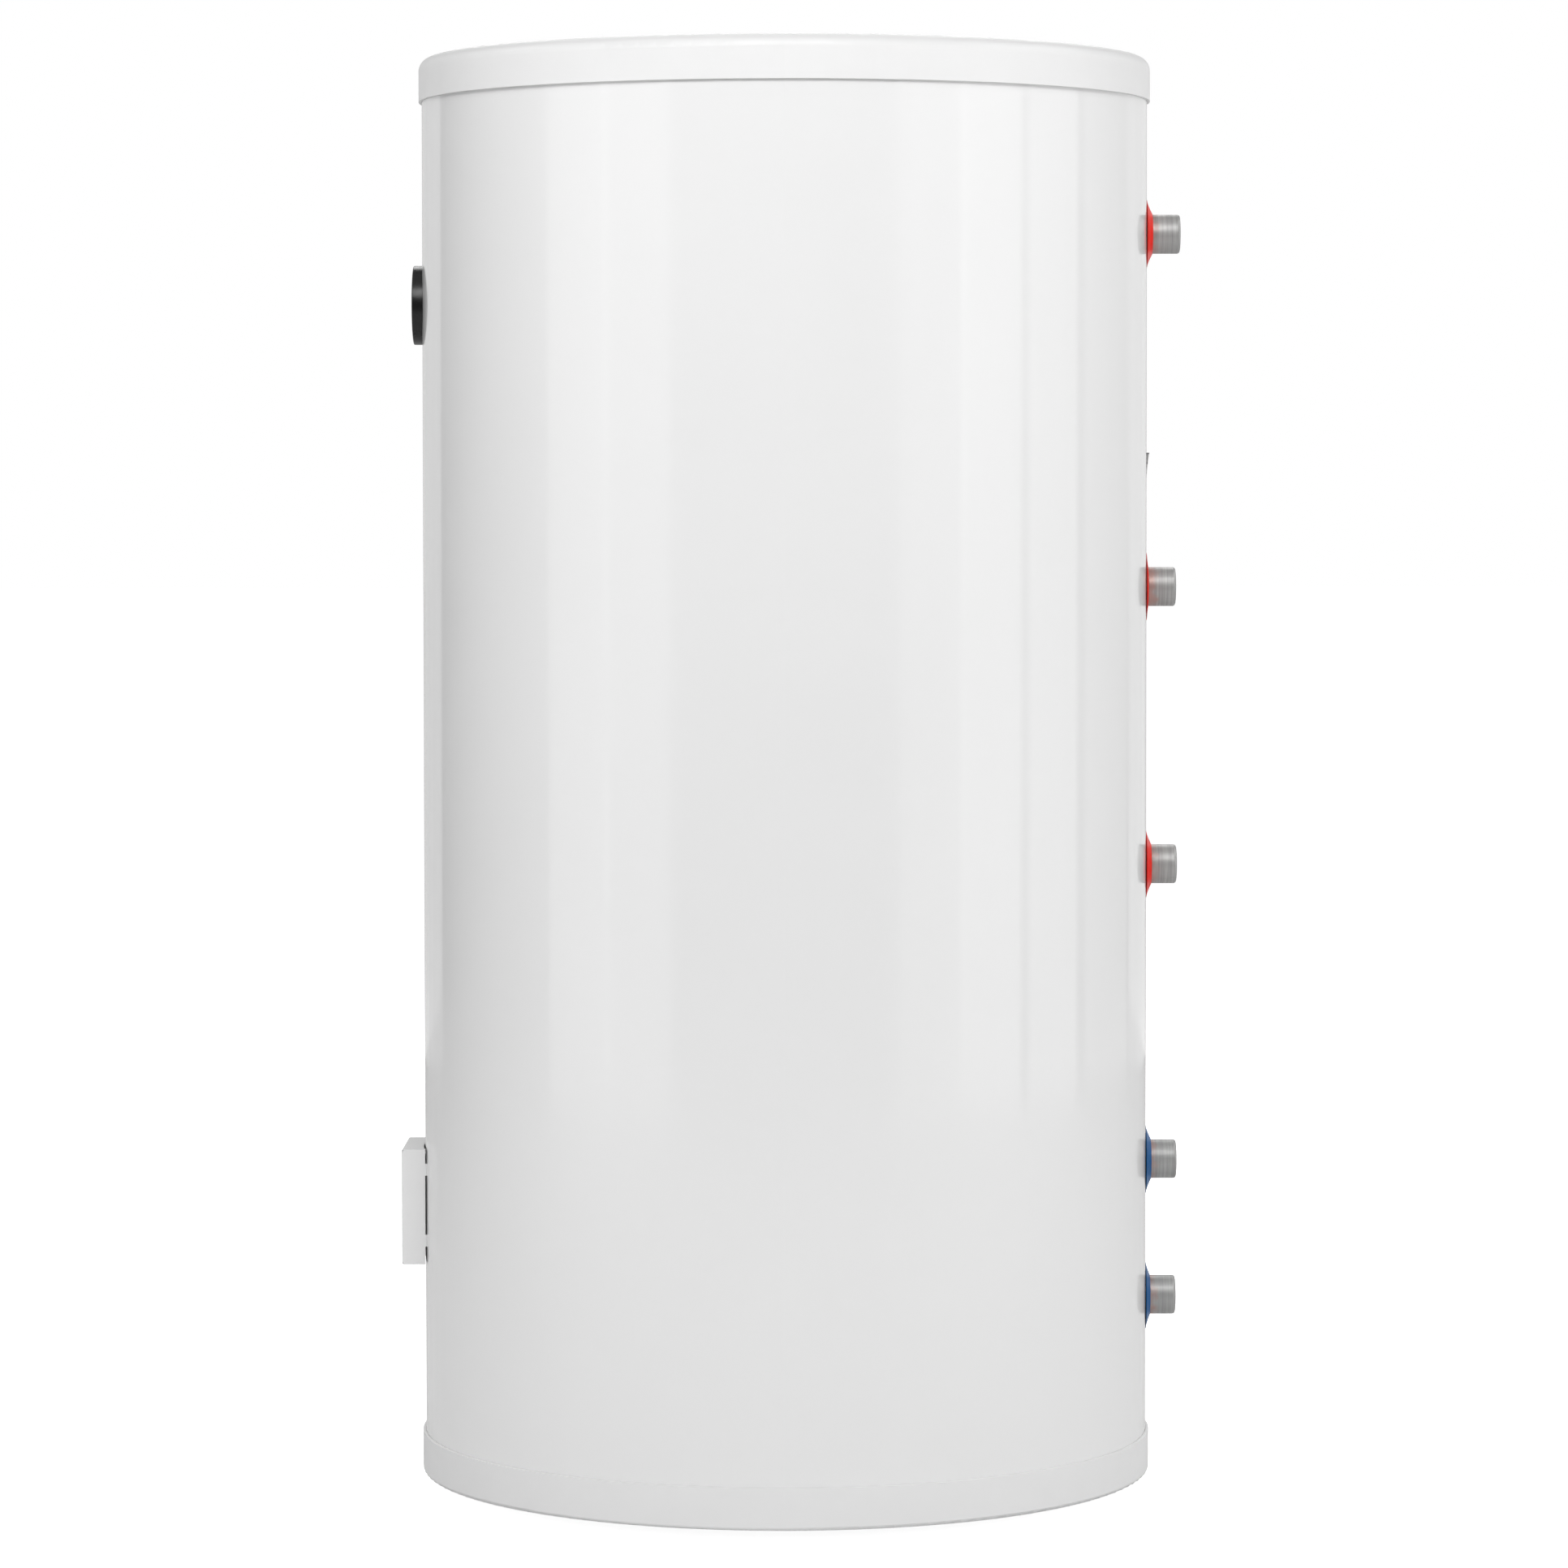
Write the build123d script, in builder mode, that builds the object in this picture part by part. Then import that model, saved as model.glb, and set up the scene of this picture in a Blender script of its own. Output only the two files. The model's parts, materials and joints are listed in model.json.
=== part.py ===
from build123d import *
import os
from math import asin, atan2, cos, degrees, radians, sin, sqrt

# A floor-standing indirect tank water heater, in millimetres.
# The origin is on the tank's axis at floor level and +Z is up. The thermometer and the service
# cover face the front, -Y. The five connections leave the back, close to +Y.

# ---------------------------------------------------------------- driving dimensions

# Casing
jacket_r = 245.0  # outer radius of the sheet-steel jacket
sheet_t = 1.0
cap_r = 247.0  # outer radius of both plastic caps
cap_wall = 1.9
cap_plate = 2.5
base_z = 8.0  # underside of the base cap
lower_seam_z = 35.6  # upper rim of the base cap
upper_seam_z = 934.3  # lower rim of the top cap
top_z = 963.4  # edge of the top cap's flat
crown_h = 1.6  # rise of the top cap's centre over its edge
cap_edge_r = 8.5
base_edge_r = 2.5
foam_gap = 0.1  # between the jacket and the foam

# Inner tank
tank_r = 215.0
tank_t = 3.0
barrel_z0 = 104.0
barrel_z1 = 862.0
crown_r = 500.0  # dished heads: crown and knuckle radii
knuckle_r = 25.0

# Connections: turned steel sockets with an internal G1/2 thread, all in one upright line
port_azimuth = 0.0  # degrees from +Y towards +X
socket_r = 13.25
socket_in_r = 196.0  # distance of a socket's inner end from the tank's axis
coil_socket_in_r = 174.0
thread_r = 9.315  # minor radius of G1/2
thread_len = 17.0
mouth_chamfer = 1.0
passage_r = 7.5
socket_corner_r = 2.0
hot_outlet = ("hot_outlet", 845.8, 267.7)  # name, height, distance of the mouth from the axis
recirculation = ("recirculation", 607.1, 265.0)
coil_flow = ("coil_flow", 418.5, 265.8)
coil_return = ("coil_return", 217.1, 265.9)
cold_inlet = ("cold_inlet", 124.2, 265.4)
ports = [hot_outlet, recirculation, coil_flow, coil_return, cold_inlet]

# Collars: trumpet-shaped plastic rosettes round the sockets
collar_rim_r = 23.2
collar_neck_r = 13.9
collar_gap = 0.1  # between a collar and its socket
collar_rim_t = 0.7
# height of each neck over the jacket: the rosettes are pushed on to different depths
collar_h = {
    "hot_outlet": 4.1,
    "recirculation": 1.6,
    "coil_flow": 3.8,
    "coil_return": 3.8,
    "cold_inlet": 3.2,
}

# Heating coil
coil_tube_r = 11.0
coil_tube_t = 1.5
coil_r = 185.0
coil_turns = 7

# Service cover and what it hides
cover_w = 72.0
cover_h = 77.9
cover_z = 189.2
cover_front = 259.3  # distance of its front from the tank's axis
cover_gap = 1.0  # between its edges and the jacket
tab_h = 8.1
tab_zs = (166.4, 214.5)
tab_reach = 6.0  # how far a tab reaches through the jacket
tab_slot_gap = 0.3
opening_w = 60.0
opening_z0 = 160.0
opening_z1 = 216.0
screw_zs = (155.5, 220.5)
screw_r = 2.0
screw_head_r = 4.0
screw_len = 10.0
heater_z = 187.0
boss_r = 24.0
plug_thread_r = 16.6  # G1
boss_face = 221.0
gasket_t = 1.5
plug_t = 6.0
plug_flats = 41.0
element_r = 4.0
element_pitch = 18.0
element_reach = 315.0
rod_r = 3.5
thermostat_w = 54.0
thermostat_z0 = 176.0
thermostat_z1 = 214.0
thermostat_t = 16.0
control_z = 195.0
dial_x = -11.0
dial_r = 12.0
dial_t = 5.5
shaft_r = 3.0
button_x = 15.0
button_travel = 2.0
running_gap = 0.05
terminal_h = 14.0
terminal_t = 11.0

# Thermometer
thermometer_z = 798.2
bezel_r = 26.7
bezel_round = 0.8
bezel_front = 251.1  # distance of its front from the tank's axis
case_r = 21.4
case_back = 223.0
case_front = 249.0
lens_t = 1.4
pocket_r = 5.5
pocket_in = 120.0

# Anode, under the top cap
anode_r = 11.0
anode_len = 400.0
anode_boss_r = 24.0
anode_boss_h = 12.0

# Label on the back
label_w = 90.0
label_h = 60.0
label_z0 = 638.0
label_t = 0.3
label_azimuth = 0.8  # of its edge nearest +X

# Levelling feet and the ring they screw into
ring_r = 150.0
ring_t = 3.0
foot_ring_r = 168.0
foot_angles = {"front": -90.0, "right": 30.0, "left": 150.0}
foot_pad_r = 20.0
foot_pad_h = 7.7
stud_r = 4.95
stud_top_z = 34.0
stud_seat_z = 2.0
lug_w = 36.0
lug_t = 4.0
nut_flats = 17.0
nut_t = 8.0

# ---------------------------------------------------------------- derived values

head_drop = sqrt((crown_r - knuckle_r) ** 2 - (tank_r - knuckle_r) ** 2)
head_h = crown_r - head_drop
head_angle = degrees(atan2(head_drop, tank_r - knuckle_r))
base_floor_z = base_z + cap_plate
jacket_z0 = base_floor_z + 0.5
jacket_z1 = top_z - cap_edge_r - 1.0
cap_in_r = cap_r - cap_wall
foam_r = jacket_r - sheet_t - foam_gap
foam_top_z = top_z - cap_plate - 0.6
foam_hollow_r = 192.0  # the space for the ring and the feet, under the tank
foam_hollow_z = 40.0
cover_in = cover_front - sheet_t
plug_face = boss_face + gasket_t + plug_t
thermostat_face = plug_face + 0.5 + thermostat_t
coil_rise = coil_flow[1] - coil_return[1]

os.makedirs("parts", exist_ok=True)


def save(builder, name):
    """Label a finished sub-part and write it."""
    builder.part.label = name
    export_step(builder.part, f"parts/{name}.step")


def front_plane(z, distance=0.0):
    """A plane that faces the front, at a distance from the axis: local x is X, local y is Z."""
    return Plane(origin=(0, -distance, z), x_dir=(1, 0, 0), z_dir=(0, -1, 0))


def port_plane(z, distance=0.0):
    """A plane that faces out of the row of ports, at a distance from the axis."""
    a = radians(port_azimuth)
    out = Vector(sin(a), cos(a), 0)
    return Plane(origin=out * distance + Vector(0, 0, z), x_dir=(cos(a), -sin(a), 0), z_dir=out)


def port_section(z):
    """The upright half-plane of a port: local x is across it and local y runs out along it."""
    return Plane(port_plane(z).origin, x_dir=(0, 0, 1), z_dir=-port_plane(z).x_dir)


def head_plane(seam_z, up):
    """The half-plane of a dished head: local x is the radius and local y points at its crown."""
    return Plane(origin=(0, 0, seam_z), x_dir=(1, 0, 0), z_dir=(0, -1 if up else 1, 0))


def head_arcs(inset):
    """Knuckle and crown of a head, at a depth below its outer surface."""
    CenterArc((tank_r - knuckle_r, 0), knuckle_r - inset, 0, head_angle)
    CenterArc((0, -head_drop), crown_r - inset, head_angle, 90 - head_angle)


def jacket_tool(z0, z1):
    """The space inside the jacket's outer surface, between two heights, to cut with."""
    with BuildPart() as tool:
        with BuildSketch(Plane.XY.offset(z0)):
            Circle(jacket_r)
        extrude(amount=z1 - z0)
    return tool.part


# ---------------------------------------------------------------- inner tank

with BuildPart() as tank_barrel:
    with BuildSketch(Plane.XY.offset(barrel_z0)):
        Circle(tank_r)
        Circle(tank_r - tank_t, mode=Mode.SUBTRACT)
    extrude(amount=barrel_z1 - barrel_z0)
    for name, z, mouth in ports:
        with BuildSketch(port_plane(z, socket_in_r)):
            Circle(socket_r)
        extrude(amount=tank_r - socket_in_r + 1, mode=Mode.SUBTRACT)
    for z, r in ((heater_z, boss_r), (thermometer_z, pocket_r)):
        with BuildSketch(front_plane(z, socket_in_r)):
            Circle(r)
        extrude(amount=tank_r - socket_in_r + 1, mode=Mode.SUBTRACT)
save(tank_barrel, "tank_barrel")


def dished_head(seam_z, up, hole_r=0.0):
    with BuildPart() as head:
        with BuildSketch(head_plane(seam_z, up)):
            with BuildLine():
                head_arcs(0)
                head_arcs(tank_t)
                Line((0, head_h), (0, head_h - tank_t))
                Line((tank_r, 0), (tank_r - tank_t, 0))
            make_face()
        revolve(axis=Axis.Z)
        if hole_r:
            with BuildSketch(Plane.XY.offset(seam_z)):
                Circle(hole_r)
            extrude(amount=head_h + 1, mode=Mode.SUBTRACT)
    return head


save(dished_head(barrel_z1, True, anode_boss_r), "tank_top_head")
save(dished_head(barrel_z0, False), "tank_bottom_head")

with BuildPart() as tank_envelope:
    with BuildSketch(Plane.XY.offset(barrel_z0)):
        Circle(tank_r)
    extrude(amount=barrel_z1 - barrel_z0)
    for seam_z, up in ((barrel_z0, False), (barrel_z1, True)):
        with BuildSketch(head_plane(seam_z, up)):
            with BuildLine():
                head_arcs(0)
                Line((0, head_h), (0, 0))
                Line((0, 0), (tank_r, 0))
            make_face()
        revolve(axis=Axis.Z)

# ---------------------------------------------------------------- ring, lugs and feet


def foot_plane(angle, z):
    """A level plane at a foot, its local x pointing away from the tank's axis."""
    a = radians(angle)
    at = (foot_ring_r * cos(a), foot_ring_r * sin(a), z)
    return Plane(origin=at, x_dir=(cos(a), sin(a), 0), z_dir=(0, 0, 1))


with BuildPart() as support_ring:
    with BuildSketch(Plane.XY.offset(base_floor_z)):
        Circle(ring_r)
        Circle(ring_r - ring_t, mode=Mode.SUBTRACT)
    extrude(amount=barrel_z0 - base_floor_z)
    for angle in foot_angles.values():
        with BuildSketch(foot_plane(angle, base_floor_z)):
            with Locations((-lug_w / 4, 0)):
                Rectangle(lug_w * 1.5, lug_w)
            Circle(stud_r + running_gap, mode=Mode.SUBTRACT)
        extrude(amount=lug_t)
    with BuildSketch(Plane.XY.offset(base_floor_z)):
        Circle(ring_r - ring_t)
    extrude(amount=lug_t, mode=Mode.SUBTRACT)
    add(tank_envelope.part, mode=Mode.SUBTRACT)
save(support_ring, "support_ring")

with BuildPart() as foot_nuts:
    for angle in foot_angles.values():
        with BuildSketch(foot_plane(angle, base_floor_z + lug_t)):
            RegularPolygon(nut_flats / 2, 6, major_radius=False)
            Circle(stud_r + running_gap, mode=Mode.SUBTRACT)
        extrude(amount=nut_t)
save(foot_nuts, "foot_nuts")

for side, angle in foot_angles.items():
    with BuildPart() as foot_pad:
        with BuildSketch(foot_plane(angle, 0)):
            Circle(foot_pad_r)
        extrude(amount=foot_pad_h)
        chamfer(foot_pad.faces().sort_by(Axis.Z)[-1].edges(), 3.0)
        chamfer(foot_pad.faces().sort_by(Axis.Z)[0].edges(), 0.8)
        with BuildSketch(foot_plane(angle, stud_seat_z)):
            Circle(stud_r)
        extrude(amount=foot_pad_h, mode=Mode.SUBTRACT)
    save(foot_pad, f"foot_{side}_pad")
    with BuildPart() as foot_stud:
        with BuildSketch(foot_plane(angle, stud_seat_z)):
            Circle(stud_r)
        extrude(amount=stud_top_z - stud_seat_z)
        chamfer(foot_stud.faces().sort_by(Axis.Z)[-1].edges(), 1.0)
    save(foot_stud, f"foot_{side}_stud")

# ---------------------------------------------------------------- sockets and collars

coil_side = {"coil_flow": 1, "coil_return": -1}  # the side on which the coil meets the socket


def socket(name, z, mouth):
    inner = coil_socket_in_r if name in coil_side else socket_in_r
    with BuildPart() as body:
        with BuildSketch(port_plane(z, inner)):
            Circle(socket_r)
        extrude(amount=mouth - inner)
        mouth_edge = body.edges().filter_by(GeomType.CIRCLE)
        mouth_edge = mouth_edge.sort_by(lambda e: (e.center() - port_plane(z).origin).length)[-1]
        fillet(mouth_edge, socket_corner_r)
        with BuildSketch(port_plane(z, mouth - thread_len)):
            Circle(thread_r)
        extrude(amount=thread_len, mode=Mode.SUBTRACT)
        with BuildSketch(port_plane(z, mouth - mouth_chamfer)):
            Circle(thread_r)
        extrude(amount=mouth_chamfer, taper=-45, mode=Mode.SUBTRACT)
        if name in coil_side:
            with BuildSketch(port_plane(z, coil_r)):
                Circle(passage_r)
            extrude(amount=mouth - coil_r, mode=Mode.SUBTRACT)
            across = port_plane(z).x_dir * coil_side[name]
            bend = Plane(origin=port_plane(z, coil_r).origin, x_dir=(0, 0, 1), z_dir=across)
            with BuildSketch(bend):
                Circle(passage_r)
            extrude(amount=socket_r + 1, mode=Mode.SUBTRACT)
        else:
            with BuildSketch(port_plane(z, inner)):
                Circle(passage_r)
            extrude(amount=mouth - inner, mode=Mode.SUBTRACT)
    return body


def collar(name, z):
    """A trumpet: wide and thin at the jacket, hugging the socket at its neck."""
    height = collar_h[name]
    bore = socket_r + collar_gap
    foot = jacket_r - 3.0  # below the jacket's surface, which then cuts the foot to its curve
    with BuildPart() as body:
        with BuildSketch(port_section(z)):
            with BuildLine():
                Line((bore, foot), (collar_rim_r, foot))
                Line((collar_rim_r, foot), (collar_rim_r, jacket_r + collar_rim_t))
                Spline(
                    (collar_rim_r, jacket_r + collar_rim_t),
                    (collar_neck_r, jacket_r + height),
                    tangents=((-1, 0.08), (-0.8, 0.6)),
                )
                Line((collar_neck_r, jacket_r + height), (bore, jacket_r + height))
                Line((bore, jacket_r + height), (bore, foot))
            make_face()
        revolve(axis=Axis((0, 0, z), port_plane(z).z_dir))
        add(jacket_tool(z - 40, z + 40), mode=Mode.SUBTRACT)
    return body


for name, z, mouth in ports:
    save(socket(name, z, mouth), f"{name}_socket")
    save(collar(name, z), f"{name}_collar")

# ---------------------------------------------------------------- inside the tank

riser_out_r = 10.0
riser_x = 60.0  # distance of its upright leg from the tank's axis
riser_top_z = 905.0
out = port_plane(0).z_dir
with BuildPart() as hot_outlet_riser:
    with BuildLine():
        FilletPolyline(
            out * socket_in_r + Vector(0, 0, hot_outlet[1]),
            out * riser_x + Vector(0, 0, hot_outlet[1]),
            out * riser_x + Vector(0, 0, riser_top_z),
            radius=30,
        )
    with BuildSketch(port_plane(hot_outlet[1], socket_in_r)):
        Circle(riser_out_r)
        Circle(passage_r, mode=Mode.SUBTRACT)
    sweep()
save(hot_outlet_riser, "hot_outlet_riser")

diffuser_r = 16.0
diffuser_len = 22.0
diffuser_t = 2.0
with BuildPart() as cold_inlet_diffuser:
    with BuildSketch(port_plane(cold_inlet[1], socket_in_r - diffuser_len)):
        Circle(diffuser_r)
    extrude(amount=diffuser_len + 6)
    with BuildSketch(port_plane(cold_inlet[1], socket_in_r - diffuser_len + diffuser_t)):
        Circle(socket_r)
    extrude(amount=diffuser_len + 6, mode=Mode.SUBTRACT)
    for turn in range(3):
        slot = port_plane(cold_inlet[1], socket_in_r - diffuser_len / 2).rotated((0, 0, 60 * turn))
        with BuildSketch(Plane(slot.origin, x_dir=slot.z_dir, z_dir=slot.x_dir)):
            SlotOverall(12, 5)
        extrude(amount=diffuser_r + 1, both=True, mode=Mode.SUBTRACT)
save(cold_inlet_diffuser, "cold_inlet_diffuser")

coil_start = degrees(asin(12.0 / coil_r))  # the coil stops beside each socket, not in it
coil_pitch = coil_rise / coil_turns
coil_height = coil_rise - 2 * coil_pitch * coil_start / 360
coil_z0 = coil_return[1] + coil_pitch * coil_start / 360
helix = Plane(origin=(0, 0, coil_z0)).rotated((0, 0, 90 - port_azimuth + coil_start)) * Helix(
    coil_pitch, coil_height, coil_r, mode=Mode.PRIVATE
)
with BuildPart() as heating_coil:
    with BuildLine():
        add(helix)
    with BuildSketch(Plane(origin=helix @ 0, x_dir=(0, 0, 1), z_dir=helix % 0)):
        Circle(coil_tube_r)
        Circle(coil_tube_r - coil_tube_t, mode=Mode.SUBTRACT)
    sweep(is_frenet=True)
    for name, z, mouth in (coil_flow, coil_return):
        with BuildSketch(port_plane(z, coil_socket_in_r - 20)):
            Circle(socket_r)
        extrude(amount=60, mode=Mode.SUBTRACT)
save(heating_coil, "heating_coil")

bracket_t = 4.0
bracket_angles = (30, 150, 210, 330)  # clear of the sockets and of the heater
with BuildPart() as coil_brackets:
    for angle in bracket_angles:
        a = radians(angle)
        with BuildSketch(Plane.XY.offset(coil_return[1] - 20)):
            with Locations(Location(((coil_r + 25) * cos(a), (coil_r + 25) * sin(a), 0), angle)):
                Rectangle(2 * (25 - coil_tube_r) - 1, bracket_t)
            Circle(tank_r - tank_t, mode=Mode.INTERSECT)
        extrude(amount=coil_rise + 40)
save(coil_brackets, "coil_brackets")

anode_z = barrel_z1 + head_h
with BuildPart() as anode_boss_part:
    with BuildSketch(Plane.XY.offset(anode_z - 8)):
        Circle(anode_boss_r)
        Circle(plug_thread_r, mode=Mode.SUBTRACT)
    extrude(amount=8 + anode_boss_h)
save(anode_boss_part, "anode_boss")

with BuildPart() as anode_plug:
    with BuildSketch(Plane.XY.offset(anode_z - 8)):
        Circle(plug_thread_r)
    extrude(amount=8 + anode_boss_h)
    with BuildSketch(Plane.XY.offset(anode_z + anode_boss_h)):
        RegularPolygon(plug_flats / 2, 6, major_radius=False)
    extrude(amount=8)
save(anode_plug, "anode_plug")

with BuildPart() as anode_rod:
    with BuildSketch(Plane.XY.offset(anode_z - 8 - anode_len)):
        Circle(anode_r)
    extrude(amount=anode_len)
    chamfer(anode_rod.faces().sort_by(Axis.Z)[0].edges(), 3.0)
save(anode_rod, "anode_rod")

# ---------------------------------------------------------------- electric heater

boss_in = 205.0
with BuildPart() as heater_boss:
    with BuildSketch(front_plane(heater_z, boss_in)):
        Circle(boss_r)
        Circle(plug_thread_r, mode=Mode.SUBTRACT)
    extrude(amount=boss_face - boss_in)
save(heater_boss, "heater_boss")

with BuildPart() as heater_gasket:
    with BuildSketch(front_plane(heater_z, boss_face)):
        Circle(22.0)
        Circle(plug_thread_r + 0.2, mode=Mode.SUBTRACT)
    extrude(amount=gasket_t)
save(heater_gasket, "heater_gasket")

with BuildPart() as heater_plug:
    with BuildSketch(front_plane(heater_z, boss_in - 2)):
        Circle(plug_thread_r)
    extrude(amount=boss_face + gasket_t - boss_in + 2)
    with BuildSketch(front_plane(heater_z, boss_face + gasket_t)):
        RegularPolygon(plug_flats / 2, 6, major_radius=False)
    extrude(amount=plug_t)
    with BuildSketch(front_plane(heater_z, boss_in - 2)):
        with GridLocations(element_pitch, 0, 2, 1):
            Circle(element_r)
        Circle(rod_r)
    extrude(amount=plug_face - boss_in + 2, mode=Mode.SUBTRACT)
save(heater_plug, "heater_plug")

with BuildPart() as immersion_heater:
    with BuildLine():
        FilletPolyline(
            (-element_pitch / 2, -plug_face, heater_z),
            (-element_pitch / 2, element_reach - plug_face, heater_z),
            (element_pitch / 2, element_reach - plug_face, heater_z),
            (element_pitch / 2, -plug_face, heater_z),
            radius=element_pitch / 2 - 0.5,
        )
    with BuildSketch(Plane(origin=(-element_pitch / 2, -plug_face, heater_z), z_dir=(0, 1, 0))):
        Circle(element_r)
    sweep()
save(immersion_heater, "immersion_heater")

thermostat_mid = (thermostat_z0 + thermostat_z1) / 2
with BuildPart() as thermostat_body:
    with BuildSketch(front_plane(thermostat_mid, plug_face + 0.5)):
        RectangleRounded(thermostat_w, thermostat_z1 - thermostat_z0, 3)
    extrude(amount=thermostat_t)
    chamfer(thermostat_body.faces().sort_by(Axis.Y)[0].edges(), 1.2)
    with BuildSketch(front_plane(heater_z, 60)):
        Circle(rod_r)
    extrude(amount=plug_face + 1 - 60)
    with BuildSketch(front_plane(control_z, thermostat_face - 9)):
        with Locations((dial_x, 0)):
            Circle(shaft_r + running_gap)
        with Locations((button_x, 0)):
            Circle(shaft_r + running_gap)
    extrude(amount=9, mode=Mode.SUBTRACT)
save(thermostat_body, "thermostat_body")

with BuildPart() as thermostat_dial:
    with BuildSketch(front_plane(control_z, thermostat_face - 8)):
        with Locations((dial_x, 0)):
            Circle(shaft_r)
    extrude(amount=8.5)
    with BuildSketch(front_plane(control_z, thermostat_face + 0.4)):
        with Locations((dial_x, 0)):
            Circle(dial_r)
            with PolarLocations(dial_r + 0.6, 18):
                Circle(1.1, mode=Mode.SUBTRACT)
    extrude(amount=dial_t)
    with BuildSketch(front_plane(control_z, thermostat_face + 0.4 + dial_t - 0.8)):
        with Locations((dial_x, dial_r - 4)):
            Rectangle(1.6, 5)
    extrude(amount=0.8, mode=Mode.SUBTRACT)
save(thermostat_dial, "thermostat_dial")

with BuildPart() as cutout_reset_button:
    with BuildSketch(front_plane(control_z, thermostat_face - 6)):
        with Locations((button_x, 0)):
            Circle(shaft_r)
    extrude(amount=6 + button_travel + 0.5)
    fillet(cutout_reset_button.faces().sort_by(Axis.Y)[0].edges(), 0.8)
save(cutout_reset_button, "cutout_reset_button")

terminal_z = thermostat_z0 - terminal_h / 2
terminal_pitch = 15.0
with BuildPart() as terminal_block:
    with BuildSketch(front_plane(terminal_z, plug_face + 0.5)):
        Rectangle(thermostat_w - 4, terminal_h)
    extrude(amount=terminal_t)
    with BuildSketch(front_plane(terminal_z, plug_face + terminal_t - 5.5)):
        with GridLocations(terminal_pitch, 0, 3, 1):
            Rectangle(10, 8)
    extrude(amount=6, mode=Mode.SUBTRACT)
save(terminal_block, "terminal_block")

with BuildPart() as terminal_screws:
    with BuildSketch(front_plane(terminal_z, plug_face + terminal_t - 5.5)):
        with GridLocations(terminal_pitch, 0, 3, 1):
            Circle(3.0)
    extrude(amount=3)
    with BuildSketch(front_plane(terminal_z, plug_face + terminal_t - 3.3)):
        with GridLocations(terminal_pitch, 0, 3, 1):
            Rectangle(5, 0.8)
    extrude(amount=1, mode=Mode.SUBTRACT)
save(terminal_screws, "terminal_screws")

# ---------------------------------------------------------------- service cover


def screws(gap=0.0, length=screw_len):
    """The two countersunk cover screws, or with a gap the space they take."""
    with BuildPart() as body:
        for z in screw_zs:
            with BuildSketch(Plane(origin=(0, 0, z), x_dir=(1, 0, 0), z_dir=(0, 0, 1))):
                with BuildLine():
                    Polyline(
                        (0, -cover_front),
                        (screw_head_r + gap, -cover_front),
                        (screw_r + gap, -cover_front + screw_head_r - screw_r),
                        (screw_r + gap, -cover_front + length),
                        (0, -cover_front + length),
                        close=True,
                    )
                make_face()
            revolve(axis=Axis((0, 0, z), (0, 1, 0)))
    return body.part


with BuildPart() as cover_screws:
    add(screws())
    for z in screw_zs:
        with BuildSketch(front_plane(z, cover_front - 1.2)):
            Rectangle(3.6, 0.8)
            Rectangle(0.8, 3.6)
        extrude(amount=2, mode=Mode.SUBTRACT)
save(cover_screws, "cover_screws")

post_r = 3.9
with BuildPart() as cover_posts:
    for z in screw_zs:
        with BuildSketch(front_plane(z, jacket_r)):
            Circle(post_r)
        extrude(amount=cover_in - 0.2 - jacket_r)
    add(screws(running_gap, screw_len + 1), mode=Mode.SUBTRACT)
save(cover_posts, "cover_posts")

cover_depth = cover_front - jacket_r + tab_reach + 5
grommet_r = 5.0
grommet_y = -(cover_front - 7.6)
grommet_plane = Plane(origin=(-cover_w / 2 - 1.5, grommet_y, cover_z), z_dir=(1, 0, 0))
with BuildPart() as service_cover:
    with BuildSketch(front_plane(cover_z, cover_front - cover_depth)):
        Rectangle(cover_w, cover_h)
    extrude(amount=cover_depth)
    fillet(service_cover.faces().sort_by(Axis.Y)[0].edges(), 1.3)
    with BuildSketch(front_plane(cover_z, cover_front - cover_depth)):
        Rectangle(cover_w - 2 * sheet_t, cover_h - 2 * sheet_t)
    extrude(amount=cover_depth - sheet_t, mode=Mode.SUBTRACT)
    with BuildSketch(Plane.XY.offset(cover_z - cover_h)):
        Circle(jacket_r + cover_gap)
    extrude(amount=2 * cover_h, mode=Mode.SUBTRACT)
    # Two tabs a side reach through slots in the jacket.
    for z in tab_zs:
        with BuildSketch(front_plane(z, jacket_r - tab_reach - 2.5)):
            with GridLocations(cover_w - sheet_t, 0, 2, 1):
                Rectangle(sheet_t, tab_h)
        extrude(amount=tab_reach + 6)
    # The folds leave a small round relief in each front corner.
    for x in (-1, 1):
        for z in (-1, 1):
            corner = Vector(x * cover_w / 2, -cover_front, cover_z + z * cover_h / 2)
            with BuildSketch(Plane(origin=corner, z_dir=(x, -1, z))):
                Circle(0.8)
            extrude(amount=4, both=True, mode=Mode.SUBTRACT)
    add(screws(0.0), mode=Mode.SUBTRACT)
    with BuildSketch(grommet_plane):
        Circle(grommet_r)
    extrude(amount=4, mode=Mode.SUBTRACT)
save(service_cover, "service_cover")

with BuildPart() as cable_grommet:
    with BuildSketch(grommet_plane):
        Circle(grommet_r + 1.5)
    extrude(amount=1.5)
    with BuildSketch(grommet_plane.offset(1.5)):
        Circle(grommet_r)
    extrude(amount=sheet_t)
    with BuildSketch(grommet_plane.offset(1.5 + sheet_t)):
        Circle(grommet_r + 1.0)
    extrude(amount=1.2)
    with BuildSketch(grommet_plane):
        Circle(3.2)
    extrude(amount=2.8, mode=Mode.SUBTRACT)
save(cable_grommet, "cable_grommet")

# ---------------------------------------------------------------- thermometer

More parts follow.
